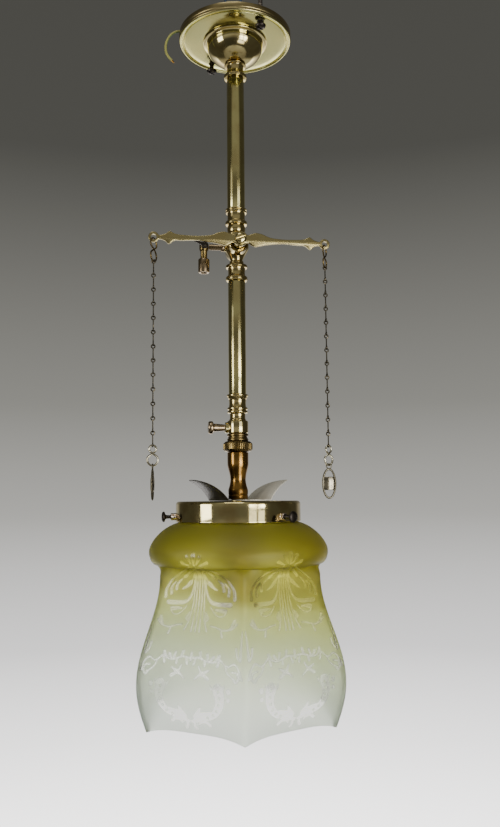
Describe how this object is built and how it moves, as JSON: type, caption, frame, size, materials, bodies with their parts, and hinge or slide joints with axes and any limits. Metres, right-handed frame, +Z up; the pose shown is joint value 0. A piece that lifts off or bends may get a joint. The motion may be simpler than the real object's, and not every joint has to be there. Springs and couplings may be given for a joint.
{
  "type": "gas ceiling light",
  "caption": "Ceiling light made from an inverted gas burner: a brass down rod with a chain-pulled cock, a gallery with screws and a hexagonal frosted glass shade over a lampholder.",
  "frame": {"origin": "centre of the ceiling plate, in the plane of the ceiling", "axes": "+Z up into the ceiling; the lever of the cock lies along X; -Y is the front, towards which the lever and its screw face"},
  "size_m": [0.143, 0.1562, 0.5281],
  "materials": {
    "brass": "highly polished yellow brass",
    "aged_brass": "aged brass, darkened",
    "bronze": "coppery brown, polished",
    "grey_sheet": "silver-grey sheet, satin",
    "nickel": "nickel plate, bright",
    "dark_steel": "blackened steel, satin",
    "frosted_glass": "frosted glass with clear etched ornament, olive at the shoulder",
    "ceramic": "glazed ceramic",
    "blue_sheath": "dark blue sheath",
    "earth_sheath": "yellow and green sheath"
  },
  "bodies": {
    "frame": {"ceiling_plate": "brass", "plate_cup": "brass", "rod_socket": "brass", "earth_tag": "brass", "rod_locknut": "brass", "upper_tube": "brass", "cock_top_union": "brass", "cock_body": "brass", "branch_tube": "brass", "branch_elbow": "aged_brass", "branch_nozzle": "aged_brass", "cock_bottom_union": "brass", "lower_tube": "brass", "burner_union": "brass", "regulator_sleeve": "brass", "air_band": "aged_brass", "bunsen_tube": "bronze", "heat_deflector": "grey_sheet", "gallery": "brass", "gallery_nipple": "brass", "gallery_nut": "brass", "gallery_bush_1": "brass", "gallery_bush_2": "brass", "gallery_bush_3": "brass", "glass_shade": "frosted_glass", "holder_cap": "brass", "holder_shell": "brass", "holder_ring": "brass", "holder_insulator": "ceramic", "rod_wire_live": "blue_sheath", "rod_wire_neutral": "blue_sheath", "wire_live": "blue_sheath", "wire_neutral": "blue_sheath", "wire_earth": "earth_sheath"},
    "lever": {"cock_plug": "brass", "plug_washer": "brass", "plug_nut": "brass", "lever": "brass", "lever_screw": "brass"},
    "link_left": {"top_link_left": "brass"},
    "chain_left": {"chain_upper_left": "dark_steel"},
    "chain_end_left": {"chain_lower_left": "dark_steel", "pull_hook_left": "nickel"},
    "pull_left": {"pull_left": "nickel"},
    "link_right": {"top_link_right": "brass"},
    "chain_right": {"chain_upper_right": "dark_steel"},
    "chain_end_right": {"chain_lower_right": "dark_steel", "pull_hook_right": "nickel"},
    "pull_right": {"pull_right": "nickel"},
    "fixing_screw_near": {"fixing_screw_near": "dark_steel"},
    "fixing_screw_far": {"fixing_screw_far": "dark_steel"},
    "gallery_screw_1": {"gallery_screw_1": "dark_steel"},
    "gallery_screw_2": {"gallery_screw_2": "dark_steel"},
    "gallery_screw_3": {"gallery_screw_3": "dark_steel"},
    "regulator_screw": {"regulator_screw": "brass"},
    "air_ring": {"air_ring": "aged_brass"},
    "tap_key": {"tap_key": "dark_steel"},
    "contact_left": {"contact_left": "brass"},
    "contact_right": {"contact_right": "brass"}
  },
  "joints": [
    {"name": "lever_turn", "type": "hinge", "parent": "frame", "child": "lever", "pos_m": [0, 0, -0.1651], "axis": [0, 1, 0], "range_deg": [-22.5, 22.5]},
    {"name": "link_hang_left", "type": "hinge", "parent": "lever", "child": "link_left", "pos_m": [-0.061, -0.021, -0.1666], "axis": [0, 1, 0], "range_deg": [-22.6, 22.6]},
    {"name": "chain_swing_left", "type": "hinge", "parent": "link_left", "child": "chain_left", "pos_m": [-0.061, -0.021, -0.184], "axis": [0, 1, 0], "range_deg": [0, 20]},
    {"name": "chain_fold_left", "type": "hinge", "parent": "chain_left", "child": "chain_end_left", "pos_m": [-0.061, -0.021, -0.25279], "axis": [-1, 0, 0], "range_deg": [0, 25]},
    {"name": "pull_swing_left", "type": "hinge", "parent": "chain_end_left", "child": "pull_left", "pos_m": [-0.061, -0.021, -0.32535], "axis": [-0.9877, 0.1564, 0], "range_deg": [0, 28]},
    {"name": "link_hang_right", "type": "hinge", "parent": "lever", "child": "link_right", "pos_m": [0.061, -0.021, -0.1666], "axis": [0, 1, 0], "range_deg": [-22.6, 22.6]},
    {"name": "chain_swing_right", "type": "hinge", "parent": "link_right", "child": "chain_right", "pos_m": [0.061, -0.021, -0.184], "axis": [0, -1, 0], "range_deg": [0, 20]},
    {"name": "chain_fold_right", "type": "hinge", "parent": "chain_right", "child": "chain_end_right", "pos_m": [0.061, -0.021, -0.25279], "axis": [-1, 0, 0], "range_deg": [0, 25]},
    {"name": "pull_swing_right", "type": "hinge", "parent": "chain_end_right", "child": "pull_right", "pos_m": [0.061, -0.021, -0.32535], "axis": [-0.8829, -0.4695, 0], "range_deg": [0, 28]},
    {"name": "fixing_screw_near_travel", "type": "slide", "parent": "frame", "child": "fixing_screw_near", "axis": [0, 0, 1], "range_m": [0, 0.0027]},
    {"name": "fixing_screw_far_travel", "type": "slide", "parent": "frame", "child": "fixing_screw_far", "axis": [0, 0, 1], "range_m": [0, 0.0055]},
    {"name": "gallery_screw_1_travel", "type": "slide", "parent": "frame", "child": "gallery_screw_1", "axis": [-0.9991, -0.0419, 0], "range_m": [0, 0.0035]},
    {"name": "gallery_screw_2_travel", "type": "slide", "parent": "frame", "child": "gallery_screw_2", "axis": [0.5358, -0.8443, 0], "range_m": [0, 0.0035]},
    {"name": "gallery_screw_3_travel", "type": "slide", "parent": "frame", "child": "gallery_screw_3", "axis": [0.4633, 0.8862, 0], "range_m": [0, 0.0035]},
    {"name": "regulator_travel", "type": "slide", "parent": "frame", "child": "regulator_screw", "axis": [-1, 0, 0], "range_m": [0, 0.003]},
    {"name": "air_ring_turn", "type": "hinge", "parent": "frame", "child": "air_ring", "pos_m": [0, 0, -0.3111], "axis": [0, 0, 1], "range_deg": [-60, 60]},
    {"name": "tap_key_turn", "type": "hinge", "parent": "frame", "child": "tap_key", "pos_m": [-0.024, 0, -0.1651], "axis": [0, 1, 0], "range_deg": [-60, 30]},
    {"name": "contact_left_press", "type": "slide", "parent": "frame", "child": "contact_left", "axis": [0, 0, 1], "range_m": [0, 0.0025], "stiffness_N_per_m": 400},
    {"name": "contact_right_press", "type": "slide", "parent": "frame", "child": "contact_right", "axis": [0, 0, 1], "range_m": [0, 0.0025], "stiffness_N_per_m": 400}
  ],
  "couplings": [
    {"joint": "link_hang_left", "follows": "lever_turn", "ratio": -1},
    {"joint": "link_hang_right", "follows": "lever_turn", "ratio": -1}
  ]
}
